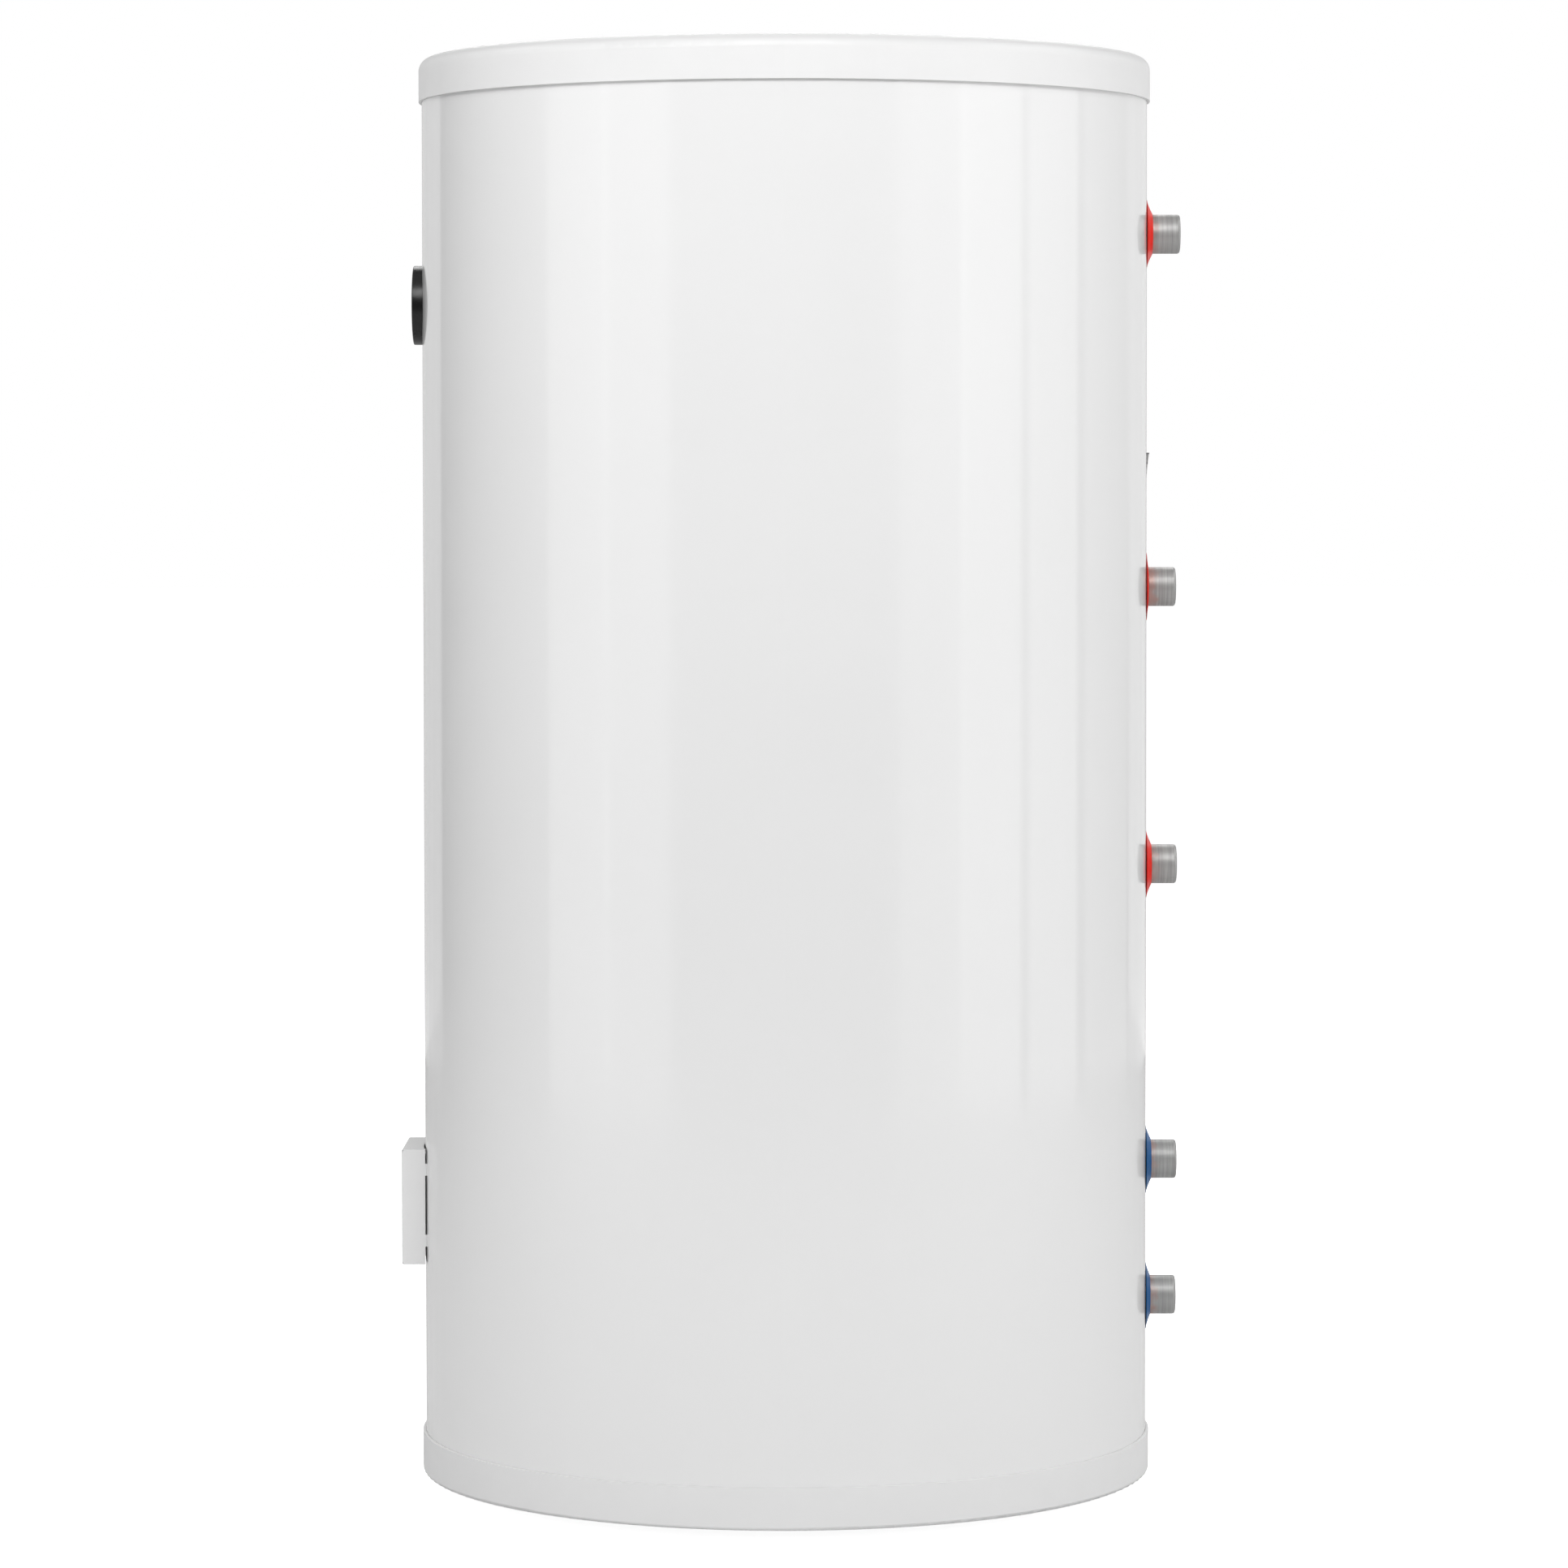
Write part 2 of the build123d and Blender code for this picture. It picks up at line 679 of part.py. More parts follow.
with BuildPart() as thermometer_bezel:
    with BuildSketch(front_plane(thermometer_z, jacket_r - 4)):
        Circle(bezel_r)
        Circle(case_r + 0.05, mode=Mode.SUBTRACT)
    extrude(amount=bezel_front - jacket_r + 4)
    rim = thermometer_bezel.faces().sort_by(Axis.Y)[0].edges().sort_by(SortBy.RADIUS)[-1]
    fillet(rim, bezel_round)
    with BuildSketch(front_plane(thermometer_z, case_front + lens_t)):
        Circle(case_r + 0.5)
        Circle(case_r - 1.4, mode=Mode.SUBTRACT)
    extrude(amount=bezel_front - case_front - lens_t)
    add(jacket_tool(thermometer_z - 40, thermometer_z + 40), mode=Mode.SUBTRACT)
save(thermometer_bezel, "thermometer_bezel")

with BuildPart() as thermometer_case:
    with BuildSketch(front_plane(thermometer_z, case_back)):
        Circle(case_r)
    extrude(amount=case_front - case_back)
    with BuildSketch(front_plane(thermometer_z, case_back + 1)):
        Circle(case_r - 1)
    extrude(amount=case_front - case_back, mode=Mode.SUBTRACT)
    with BuildSketch(front_plane(thermometer_z, case_back)):
        Circle(rod_r)
    extrude(amount=1, mode=Mode.SUBTRACT)
save(thermometer_case, "thermometer_case")

spindle_r = 0.8
scale_face = 246.8  # distance of the scale's face from the tank's axis
with BuildPart() as thermometer_dial:
    with BuildSketch(front_plane(thermometer_z, scale_face - 0.8)):
        Circle(case_r - 1)
        Circle(spindle_r + running_gap, mode=Mode.SUBTRACT)
    extrude(amount=0.8)
save(thermometer_dial, "thermometer_dial")

# The pointer rests at 20 degrees on a scale that runs clockwise through 240 degrees from 0 to 120.
pointer_angle = 210 - 2 * 20
pointer_plane = front_plane(thermometer_z, scale_face + 0.4)
with BuildPart() as thermometer_pointer:
    with BuildSketch(front_plane(thermometer_z, scale_face - 4)):
        Circle(spindle_r)
    extrude(amount=4.6)
    with BuildSketch(pointer_plane):
        Circle(2.2)
        with Locations(Location((0, 0, 0), pointer_angle)):
            Polygon((-8.0, -1.1), (16.5, -0.25), (16.5, 0.25), (-8.0, 1.1), align=None)
    extrude(amount=0.6)
save(thermometer_pointer, "thermometer_pointer")

with BuildPart() as thermometer_lens:
    with BuildSketch(front_plane(thermometer_z, case_front)):
        Circle(case_r)
    extrude(amount=lens_t)
save(thermometer_lens, "thermometer_lens")

pocket_out = 219.0
with BuildPart() as thermometer_pocket:
    with BuildSketch(front_plane(thermometer_z, pocket_in)):
        Circle(pocket_r)
    extrude(amount=pocket_out - pocket_in)
    with BuildSketch(front_plane(thermometer_z, pocket_in + 2)):
        Circle(rod_r + 0.3)
    extrude(amount=pocket_out - pocket_in, mode=Mode.SUBTRACT)
save(thermometer_pocket, "thermometer_pocket")

with BuildPart() as thermometer_stem:
    with BuildSketch(front_plane(thermometer_z, pocket_in + 4)):
        Circle(rod_r)
    extrude(amount=case_back + 1 - pocket_in - 4)
save(thermometer_stem, "thermometer_stem")

# ---------------------------------------------------------------- foam, jacket and caps

with BuildPart() as insulation_foam:
    with BuildSketch(Plane.XZ):
        with BuildLine():
            Polyline(
                (0, foam_hollow_z),
                (foam_hollow_r, foam_hollow_z),
                (foam_hollow_r, jacket_z0),
                (foam_r, jacket_z0),
                (foam_r, jacket_z1),
                (foam_r - 6, foam_top_z),
                (0, foam_top_z),
                close=True,
            )
        make_face()
    revolve(axis=Axis.Z)
    add(tank_envelope.part, mode=Mode.SUBTRACT)
    with BuildSketch(Plane.XY.offset(foam_hollow_z - 1)):
        Circle(ring_r)
    extrude(amount=barrel_z0 - foam_hollow_z, mode=Mode.SUBTRACT)
    with BuildSketch(Plane.XY.offset(anode_z - 4)):
        Circle(anode_boss_r + 6)
    extrude(amount=foam_top_z - anode_z + 5, mode=Mode.SUBTRACT)
    for name, z, mouth in ports:
        with BuildSketch(port_plane(z, socket_in_r)):
            Circle(socket_r)
        extrude(amount=jacket_r - socket_in_r, mode=Mode.SUBTRACT)
    with BuildSketch(front_plane((opening_z0 + opening_z1) / 2, tank_r - 8)):
        Rectangle(cover_w + 4, opening_z1 - opening_z0 + 8)
    extrude(amount=60, mode=Mode.SUBTRACT)
    for z in tab_zs:
        with BuildSketch(front_plane(z, jacket_r - tab_reach - 4)):
            with GridLocations(cover_w - sheet_t, 0, 2, 1):
                Rectangle(sheet_t + 2, tab_h + 2)
        extrude(amount=30, mode=Mode.SUBTRACT)
    with BuildSketch(front_plane(thermometer_z, case_back - 1)):
        Circle(case_r + 1)
    extrude(amount=60, mode=Mode.SUBTRACT)
    with BuildSketch(front_plane(thermometer_z, tank_r - 8)):
        Circle(pocket_r)
    extrude(amount=60, mode=Mode.SUBTRACT)
save(insulation_foam, "insulation_foam")

with BuildPart() as outer_jacket:
    with BuildSketch(Plane.XY.offset(jacket_z0)):
        Circle(jacket_r)
        Circle(jacket_r - sheet_t, mode=Mode.SUBTRACT)
    extrude(amount=jacket_z1 - jacket_z0)
    for name, z, mouth in ports:
        with BuildSketch(port_plane(z, jacket_r - 10)):
            Circle(socket_r + 1.5)
        extrude(amount=20, mode=Mode.SUBTRACT)
    with BuildSketch(front_plane(thermometer_z, jacket_r - 10)):
        Circle(case_r + 0.6)
    extrude(amount=20, mode=Mode.SUBTRACT)
    with BuildSketch(front_plane((opening_z0 + opening_z1) / 2, jacket_r - 10)):
        RectangleRounded(opening_w, opening_z1 - opening_z0, 4)
    extrude(amount=20, mode=Mode.SUBTRACT)
    for z in tab_zs:
        with BuildSketch(front_plane(z, jacket_r - 12)):
            with GridLocations(cover_w - sheet_t, 0, 2, 1):
                Rectangle(sheet_t + 2 * tab_slot_gap, tab_h + 2 * tab_slot_gap)
        extrude(amount=24, mode=Mode.SUBTRACT)
save(outer_jacket, "outer_jacket")

crown_arc_r = ((cap_r - cap_edge_r) ** 2 + crown_h**2) / (2 * crown_h)
inner_edge_r = cap_edge_r - 2
inner_top_z = top_z - cap_plate
inner_arc_r = ((cap_in_r - inner_edge_r) ** 2 + crown_h**2) / (2 * crown_h)
with BuildPart() as top_cap:
    with BuildSketch(Plane.XZ):
        with BuildLine():
            Line((cap_r, upper_seam_z), (cap_r, top_z - cap_edge_r))
            CenterArc((cap_r - cap_edge_r, top_z - cap_edge_r), cap_edge_r, 0, 90)
            RadiusArc((cap_r - cap_edge_r, top_z), (0, top_z + crown_h), -crown_arc_r)
            Line((0, top_z + crown_h), (0, inner_top_z + crown_h))
            RadiusArc((cap_in_r - inner_edge_r, inner_top_z), (0, inner_top_z + crown_h), -inner_arc_r)
            CenterArc((cap_in_r - inner_edge_r, inner_top_z - inner_edge_r), inner_edge_r, 0, 90)
            Line((cap_in_r, inner_top_z - inner_edge_r), (cap_in_r, upper_seam_z))
            Line((cap_in_r, upper_seam_z), (cap_r, upper_seam_z))
        make_face()
    revolve(axis=Axis.Z)
save(top_cap, "top_cap")

with BuildPart() as base_cap:
    with BuildSketch(Plane.XY.offset(base_z)):
        Circle(cap_r)
    extrude(amount=lower_seam_z - base_z)
    fillet(base_cap.faces().sort_by(Axis.Z)[0].edges(), base_edge_r)
    with BuildSketch(Plane.XY.offset(base_floor_z)):
        Circle(cap_in_r)
    extrude(amount=lower_seam_z - base_floor_z, mode=Mode.SUBTRACT)
    for angle in foot_angles.values():
        with BuildSketch(foot_plane(angle, base_z)):
            Circle(stud_r + 0.8)
        extrude(amount=cap_plate, mode=Mode.SUBTRACT)
save(base_cap, "base_cap")

# ---------------------------------------------------------------- label

label_span = degrees(label_w / jacket_r)
with BuildPart() as rating_label:
    with BuildSketch(Plane.XY.offset(label_z0)):
        with BuildLine():
            start = 90 - label_azimuth
            CenterArc((0, 0), jacket_r, start, label_span)
            CenterArc((0, 0), jacket_r + label_t, start, label_span)
            for a in (start, start + label_span):
                Line(
                    (jacket_r * cos(radians(a)), jacket_r * sin(radians(a))),
                    ((jacket_r + label_t) * cos(radians(a)), (jacket_r + label_t) * sin(radians(a))),
                )
        make_face()
    extrude(amount=label_h)
save(rating_label, "rating_label")
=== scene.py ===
import json
from math import atan2, cos, pi, radians, sin, sqrt

import bmesh
import bpy
from mathutils import Euler, Matrix, Vector


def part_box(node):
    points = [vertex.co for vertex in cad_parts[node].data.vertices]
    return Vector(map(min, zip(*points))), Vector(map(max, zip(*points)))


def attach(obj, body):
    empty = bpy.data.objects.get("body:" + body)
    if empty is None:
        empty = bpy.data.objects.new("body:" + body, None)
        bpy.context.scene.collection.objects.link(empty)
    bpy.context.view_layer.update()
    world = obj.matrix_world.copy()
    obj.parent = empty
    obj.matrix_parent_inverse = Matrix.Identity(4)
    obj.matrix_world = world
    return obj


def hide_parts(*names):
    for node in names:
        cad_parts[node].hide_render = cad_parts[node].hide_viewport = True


# A floor-standing tank water heater: a white enamelled jacket between two plastic caps, five turned
# steel sockets with coloured collars at the back (+Y), and a dial thermometer and a folded service
# cover in front (-Y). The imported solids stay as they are. Pieces whose look needs more than the solid
# holds are rebuilt here in mesh code, at the sizes read from the frame.

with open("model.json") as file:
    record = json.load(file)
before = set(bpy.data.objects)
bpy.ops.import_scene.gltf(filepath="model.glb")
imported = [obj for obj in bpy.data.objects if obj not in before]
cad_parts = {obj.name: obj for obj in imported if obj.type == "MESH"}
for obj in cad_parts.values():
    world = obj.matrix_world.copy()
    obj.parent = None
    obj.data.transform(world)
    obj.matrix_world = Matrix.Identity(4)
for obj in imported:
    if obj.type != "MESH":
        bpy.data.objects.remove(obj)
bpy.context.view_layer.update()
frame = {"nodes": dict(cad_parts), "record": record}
nodes = frame["nodes"]
record = frame["record"]
MM = 0.001
PRINT_DEPTH = 0.05 * MM  # how far print stands proud of its face

# ---------------------------------------------------------------- places and sizes from the frame

UP = Vector((0, 0, 1))
RIGHT = Vector((1, 0, 0))
FRONT = Vector((0, -1, 0))

JACKET_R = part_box("outer_jacket")[1].x
SEAM_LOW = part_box("base_cap")[1].z  # the two heights at which the caps meet the jacket
SEAM_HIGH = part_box("top_cap")[0].z

MOUNTS = {m["name"]: m for m in record["mounts"]}
PORTS = ["hot_outlet", "recirculation", "coil_flow", "coil_return", "cold_inlet"]
OUT = Vector(MOUNTS["hot_outlet"]["axis"]).normalized()  # the ports' common direction
ACROSS = UP.cross(OUT)
PORT_Z = {port: MOUNTS[port]["pos_m"][2] for port in PORTS}


def span(node, direction):
    """The least and greatest distance of a node along a direction from the origin."""
    along = [v.co.dot(direction) for v in nodes[node].data.vertices]
    return min(along), max(along)


def middle(node):
    low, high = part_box(node)
    return (low + high) / 2


# ---------------------------------------------------------------- outlines and meshes


def rounded(corners, steps=6):
    """An outline's points, from corners (u, v, radius); a corner with a radius becomes an arc."""
    points = []
    count = len(corners)
    for i, (u, v, radius) in enumerate(corners):
        here = Vector((u, v))
        if radius == 0:
            points.append(here)
            continue
        before = (Vector(corners[i - 1][:2]) - here).normalized()
        after = (Vector(corners[(i + 1) % count][:2]) - here).normalized()
        half = before.angle(after) / 2
        centre = here + (before + after).normalized() * (radius / sin(half))
        first = here + before * (radius * cos(half) / sin(half))
        last = here + after * (radius * cos(half) / sin(half))
        a0 = atan2(first.y - centre.y, first.x - centre.x)
        a1 = atan2(last.y - centre.y, last.x - centre.x)
        sweep = (a1 - a0 + pi) % (2 * pi) - pi
        for k in range(steps + 1):
            a = a0 + sweep * k / steps
            points.append(centre + Vector((cos(a), sin(a))) * radius)
    return points


def add_piece(name, verts, faces, body, material, crease=35.0):
    """A smooth-shaded object from plain lists, riding on a body of the frame."""
    mesh = bpy.data.meshes.new(name)
    mesh.from_pydata([tuple(v) for v in verts], [], faces)
    tidy = bmesh.new()
    tidy.from_mesh(mesh)
    bmesh.ops.remove_doubles(tidy, verts=tidy.verts, dist=1e-6)
    bmesh.ops.recalc_face_normals(tidy, faces=tidy.faces)
    tidy.to_mesh(mesh)
    tidy.free()
    mesh.shade_smooth()
    mesh.set_sharp_from_angle(angle=radians(crease))
    mesh.materials.append(material)
    piece = bpy.data.objects.new(name, mesh)
    bpy.context.scene.collection.objects.link(piece)
    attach(piece, body)
    return piece


def ring_faces(rings, points, closed_rings=True, closed_outline=True):
    """Quads between neighbouring outlines of a swept shape."""
    faces = []
    for k in range(rings if closed_rings else rings - 1):
        for i in range(points if closed_outline else points - 1):
            a, b = k * points, (k + 1) % rings * points
            j = (i + 1) % points
            faces.append((a + i, a + j, b + j, b + i))
    return faces


def lathe(outline, origin, axis, segments=160, lift=None, widen=None):
    """Vertices and faces of an outline of (distance along the axis, radius) turned about the axis.

    lift(point) is an extra shift along the axis, and widen(along, radius, angle) an extra radius."""
    side = axis.orthogonal().normalized()
    other = axis.cross(side)
    verts = []
    for k in range(segments):
        a = 2 * pi * k / segments
        ray = side * cos(a) + other * sin(a)
        for along, radius in outline:
            wide = radius + widen(along, radius, a) if widen else radius
            point = origin + axis * along + ray * wide
            if lift:
                point += axis * lift(point)
            verts.append(point)
    return verts, ring_faces(segments, len(outline))


def joined(*parts):
    """One vertex list and one face list from several."""
    verts, faces = [], []
    for more_verts, more_faces in parts:
        start = len(verts)
        verts += more_verts
        faces += [tuple(i + start for i in face) for face in more_faces]
    return verts, faces


def plate(outline, place, depth):
    """A flat plate: an outline in a plane (a 4x4 matrix), thickened along the plane's own z."""
    count = len(outline)
    verts = [place @ Vector((p[0], p[1], 0)) for p in outline]
    verts += [place @ Vector((p[0], p[1], depth)) for p in outline]
    faces = [tuple(reversed(range(count))), tuple(range(count, 2 * count))]
    faces += [(i, (i + 1) % count, (i + 1) % count + count, i + count) for i in range(count)]
    return verts, faces


def front_place(x, z, distance, turn=0.0):
    """A plane facing the front, with local x to the right and local y up, turned about its normal."""
    upright = Euler((radians(90), 0, 0)).to_matrix().to_4x4()
    return Matrix.Translation((x, -distance, z)) @ upright @ Matrix.Rotation(turn, 4, "Z")


def wording(text, size, place):
    """Vertices and faces of a line of figures, centred on a plane and 0.05 mm proud of it."""
    curve = bpy.data.curves.new("figures", "FONT")
    curve.body = text
    curve.size = size
    curve.align_x = "CENTER"
    curve.align_y = "CENTER"
    curve.extrude = 0.025 * MM
    curve.resolution_u = 4
    letters = bpy.data.objects.new("figures", curve)
    mesh = bpy.data.meshes.new_from_object(letters)
    verts = [place @ v.co for v in mesh.vertices]
    faces = [tuple(p.vertices) for p in mesh.polygons]
    bpy.data.objects.remove(letters)
    bpy.data.curves.remove(curve)
    bpy.data.meshes.remove(mesh)
    return verts, faces


# ---------------------------------------------------------------- materials


class Look:
    """A node material, with short calls for the nodes used here. Lengths are in metres."""

    def __init__(self, name):
        self.material = bpy.data.materials.new(name)
        self.material.use_nodes = True
        self.tree = self.material.node_tree
        self.shader = self.tree.nodes["Principled BSDF"]
        self.place = self.node("ShaderNodeTexCoord").outputs["Object"]

    def node(self, kind, **settings):
        made = self.tree.nodes.new(kind)
        for key, value in settings.items():
            setattr(made, key, value)
        return made

    def put(self, socket, value):
        if isinstance(value, bpy.types.NodeSocket):
            self.tree.links.new(value, socket)
        else:
            socket.default_value = value

    def set(self, **values):
        """Sets or links the shader's sockets; underscores stand for spaces."""
        for key, value in values.items():
            self.put(self.shader.inputs[key.replace("_", " ")], value)

    def noise(self, scale, detail=3.0, rough=0.5, at=None):
        made = self.node("ShaderNodeTexNoise")
        made.inputs["Scale"].default_value = scale
        made.inputs["Detail"].default_value = detail
        made.inputs["Roughness"].default_value = rough
        self.put(made.inputs["Vector"], at or self.place)
        return made.outputs["Fac"]

    def cells(self, scale):
        made = self.node("ShaderNodeTexVoronoi")
        made.inputs["Scale"].default_value = scale
        self.put(made.inputs["Vector"], self.place)
        return made.outputs["Distance"]

    def math(self, kind, a, b=0.0):
        made = self.node("ShaderNodeMath", operation=kind)
        self.put(made.inputs[0], a)
        self.put(made.inputs[1], b)
        return made.outputs["Value"]

    def fade(self, amount, low, high, start=0.3, end=0.7):
        """A number that goes from low to high while amount goes from start to end."""
        made = self.node("ShaderNodeMapRange")
        self.put(made.inputs["Value"], amount)
        for key, value in (("From Min", start), ("From Max", end), ("To Min", low), ("To Max", high)):
            made.inputs[key].default_value = value
        return made.outputs["Result"]

    def blend(self, amount, low, high, start=0.3, end=0.7):
        """A colour that goes from low to high while amount goes from start to end."""
        made = self.node("ShaderNodeMix", data_type="RGBA")
        self.put(made.inputs["Factor"], self.fade(amount, 0.0, 1.0, start, end))
        for key, color in (("A", low), ("B", high)):
            entry = next(s for s in made.inputs if s.name == key and s.type == "RGBA")
            self.put(entry, color if isinstance(color, bpy.types.NodeSocket) else (*color, 1.0))
        return next(s for s in made.outputs if s.type == "RGBA")

    def bump(self, height, depth, under=None):
        made = self.node("ShaderNodeBump")
        made.inputs["Distance"].default_value = depth
        self.put(made.inputs["Height"], height)
        if under:
            self.put(made.inputs["Normal"], under)
        self.put(self.shader.inputs["Normal"], made.outputs["Normal"])
        return made.outputs["Normal"]


def shade(color, factor):
    return [c * factor for c in color]


def enamel(name, color, rough, peel):
    """Stoved enamel on sheet steel: a clear gloss over faint orange peel, slightly uneven in tone."""
    look = Look(name)
    look.set(Coat_Weight=1.0, Coat_Roughness=0.09, Specular_IOR_Level=0.2)
    look.set(Base_Color=look.blend(look.noise(5.0), color, shade(color, 0.985)))
    look.set(Roughness=look.fade(look.noise(18.0), rough, rough * 1.3))
    sheet = look.bump(look.noise(1.6, 2.0), 0.00025 * peel)
    look.bump(look.noise(330.0, 2.0), 0.000004 * peel, sheet)
    return look.material


def moulded(name, color, rough, grain=700.0, depth=0.00001, gloss=0.0, uneven=0.93, shine=0.5):
    """Moulded plastic: a fine grain and slight flow marks."""
    look = Look(name)
    look.set(Coat_Weight=gloss, Coat_Roughness=0.05, Specular_IOR_Level=shine)
    look.set(Base_Color=look.blend(look.noise(40.0), color, shade(color, uneven)))
    look.set(Roughness=look.fade(look.noise(70.0), rough * 0.85, rough * 1.2))
    look.bump(look.noise(grain, 3.0), depth)
    return look.material


def dusty_abs(name, top_shade=0.22):
    """The top cap's plastic, with painted shade: its colour is darker and its coat fades where the
    surface faces up.
    """
    look = Look(name)
    look.set(Coat_Roughness=0.05, Specular_IOR_Level=0.35)
    unshaded_tone = look.blend(look.noise(40.0), ABS_WHITE, shade(ABS_WHITE, 0.985))
    # painted shade: the colour darkens as the surface normal turns up, standing in for less light on the
    # cap's top
    up = look.node("ShaderNodeSeparateXYZ")
    look.put(up.inputs["Vector"], look.node("ShaderNodeNewGeometry").outputs["Normal"])
    # film is the painted-shade mask: the normal's upward part plus a little noise
    film = look.math("ADD", up.outputs["Z"], look.math("MULTIPLY", look.noise(9.0), 0.2))
    look.set(Base_Color=look.blend(film, unshaded_tone, shade(ABS_WHITE, 1 - top_shade), 0.15, 0.75))
    look.set(Coat_Weight=look.fade(film, 0.1, 0.0, 0.15, 0.6))
    look.set(Roughness=look.fade(look.noise(70.0), 0.38, 0.54))
    look.bump(look.noise(350.0, 3.0), 0.000006)
    return look.material


def turned_steel(name):
    """Dull steel turned on a lathe: fine rings square to the ports, and a painted reflection of the
    collar, a reddish tint at the foot.
    """
    look = Look(name)
    along = look.node("ShaderNodeVectorMath", operation="DOT_PRODUCT")
    look.put(along.inputs[0], look.place)
    look.put(along.inputs[1], OUT)
    line = look.node("ShaderNodeCombineXYZ")
    look.put(line.inputs["X"], along.outputs["Value"])
    height = look.node("ShaderNodeSeparateXYZ")
    look.put(height.inputs["Vector"], look.place)
    look.put(line.inputs["Y"], look.math("MULTIPLY", height.outputs["Z"], 0.012))
    fine = look.noise(1900.0, 3.0, 0.65, line.outputs["Vector"])
    broad = look.noise(700.0, 2.0, 0.5, line.outputs["Vector"])
    rings = look.math("ADD", look.math("MULTIPLY", fine, 0.6), look.math("MULTIPLY", broad, 0.4))
    bare = look.blend(rings, (0.27, 0.27, 0.265), (0.46, 0.46, 0.455), 0.36, 0.64)
    patch = look.math("MULTIPLY", look.noise(160.0, 3.0), 0.012)
    reach = look.math("ADD", along.outputs["Value"], patch)
    # painted reflection: the reddish tint near the jacket stands in for the red collar mirrored in the
    # steel
    collar_reflection_tint = (0.42, 0.30, 0.27)
    foot = JACKET_R + 9 * MM
    look.set(Base_Color=look.blend(reach, collar_reflection_tint, bare, foot, foot + 5 * MM))
    look.set(Metallic=0.55)
    look.set(Roughness=look.fade(look.noise(90.0, 4.0, 0.6), 0.42, 0.54))
    look.bump(fine, 0.00002)
    return look.material


def metal(name, color, rough, scratch=500.0, uneven=0.85):
    """Cast, drawn or plated metal with fine scratches and uneven tone."""
    look = Look(name)
    look.set(Metallic=1.0)
    look.set(Base_Color=look.blend(look.noise(120.0, 4.0), color, shade(color, uneven)))
    look.set(Roughness=look.fade(look.noise(220.0), rough * 0.8, rough * 1.3))
    look.bump(look.noise(scratch, 3.0), 0.00001)
    return look.material


def foam(name):
    """Rigid polyurethane foam, browned at its skin."""
    look = Look(name)
    look.set(Roughness=0.9, Specular_IOR_Level=0.2)
    look.set(Base_Color=look.blend(look.noise(25.0), (0.78, 0.62, 0.33), (0.62, 0.46, 0.22)))
    look.bump(look.cells(700.0), 0.0004)
    return look.material


def clear(name):
    """The thermometer's clear lens, faintly hazed."""
    look = Look(name)
    look.set(Transmission_Weight=1.0, IOR=1.49, Base_Color=(0.97, 0.985, 0.98, 1))
    look.set(Roughness=look.fade(look.noise(40.0), 0.0, 0.02, 0.4, 0.7))
    return look.material


def label_paper(name):
    """A white plastic film with a blank ruled table on it."""
    look = Look(name)
    uv = look.node("ShaderNodeTexCoord").outputs["UV"]
    table = look.node("ShaderNodeTexBrick", offset=0.0, squash=1.0)
    settings = {"Scale": 1.0, "Mortar Size": 0.006, "Brick Width": 0.46, "Row Height": 0.11}
    for key, value in settings.items():
        table.inputs[key].default_value = value
    look.put(table.inputs["Vector"], uv)
    paper = look.blend(look.noise(30.0), (0.80, 0.80, 0.79), (0.75, 0.75, 0.74))
    look.set(Base_Color=look.blend(table.outputs["Fac"], paper, (0.25, 0.25, 0.26), 0.4, 0.6))
    look.set(Roughness=look.fade(look.noise(80.0), 0.28, 0.4))
    look.bump(look.noise(1500.0, 3.0), 0.000004)
    return look.material


WHITE = (0.80, 0.80, 0.80)
ABS_WHITE = (0.78, 0.78, 0.78)
MATERIALS = {
    "white_enamel": enamel("white_enamel", WHITE, 0.35, 1.0),
    "cover_enamel": enamel("cover_enamel", (0.76, 0.76, 0.76), 0.5, 2.0),
    "white_abs": moulded("white_abs", ABS_WHITE, 0.45, 350.0, 0.000006, 0.1, 0.985, 0.35),
    "turned_steel": turned_steel("turned_steel"),
    "red_plastic": moulded("red_plastic", (0.84, 0.014, 0.006), 0.35, 500.0, 0.00001, 0.0, 0.95, 0.2),
    "blue_plastic": moulded("blue_plastic", (0.004, 0.100, 0.290), 0.35, 500.0, 0.00001, 0.0, 0.95, 0.2),
    "black_plastic": moulded("black_plastic", (0.004, 0.004, 0.004), 0.3, 500.0, 0.000006, 0.0, 0.9, 0.4),
    "dial_face": moulded("dial_face", (0.82, 0.82, 0.80), 0.5),
    "pointer_red": moulded("pointer_red", (0.55, 0.02, 0.015), 0.35),
    "lens": clear("lens"),
    "tank_steel": moulded("tank_steel", (0.015, 0.03, 0.07), 0.2, 150.0, 0.00005, 0.6),
    "coil_steel": moulded("coil_steel", (0.02, 0.035, 0.075), 0.2, 150.0, 0.00005, 0.6),
    "foam": foam("foam"),
    "brass": metal("brass", (0.72, 0.50, 0.20), 0.3),
    "element_sheath": metal("element_sheath", (0.50, 0.48, 0.46), 0.35),
    "gasket_rubber": moulded("gasket_rubber", (0.02, 0.02, 0.021), 0.6, 700.0, 0.00004),
    "thermostat_plastic": moulded("thermostat_plastic", (0.015, 0.015, 0.016), 0.4, 900.0, 0.00002),
    "dial_plastic": moulded("dial_plastic", (0.70, 0.70, 0.68), 0.35),
    "button_red": moulded("button_red", (0.60, 0.02, 0.015), 0.3),
    "terminal_plastic": moulded("terminal_plastic", (0.66, 0.63, 0.54), 0.4),
    "zinc_screw": metal("zinc_screw", (0.62, 0.62, 0.60), 0.28),
    "anode_magnesium": metal("anode_magnesium", (0.45, 0.45, 0.44), 0.6, 250.0, 0.7),
    "label_paper": label_paper("label_paper"),
    "foot_rubber": moulded("foot_rubber", (0.02, 0.02, 0.021), 0.65, 600.0, 0.00005),
}
PRINT = moulded("scale_print", (0.02, 0.02, 0.02), 0.5)

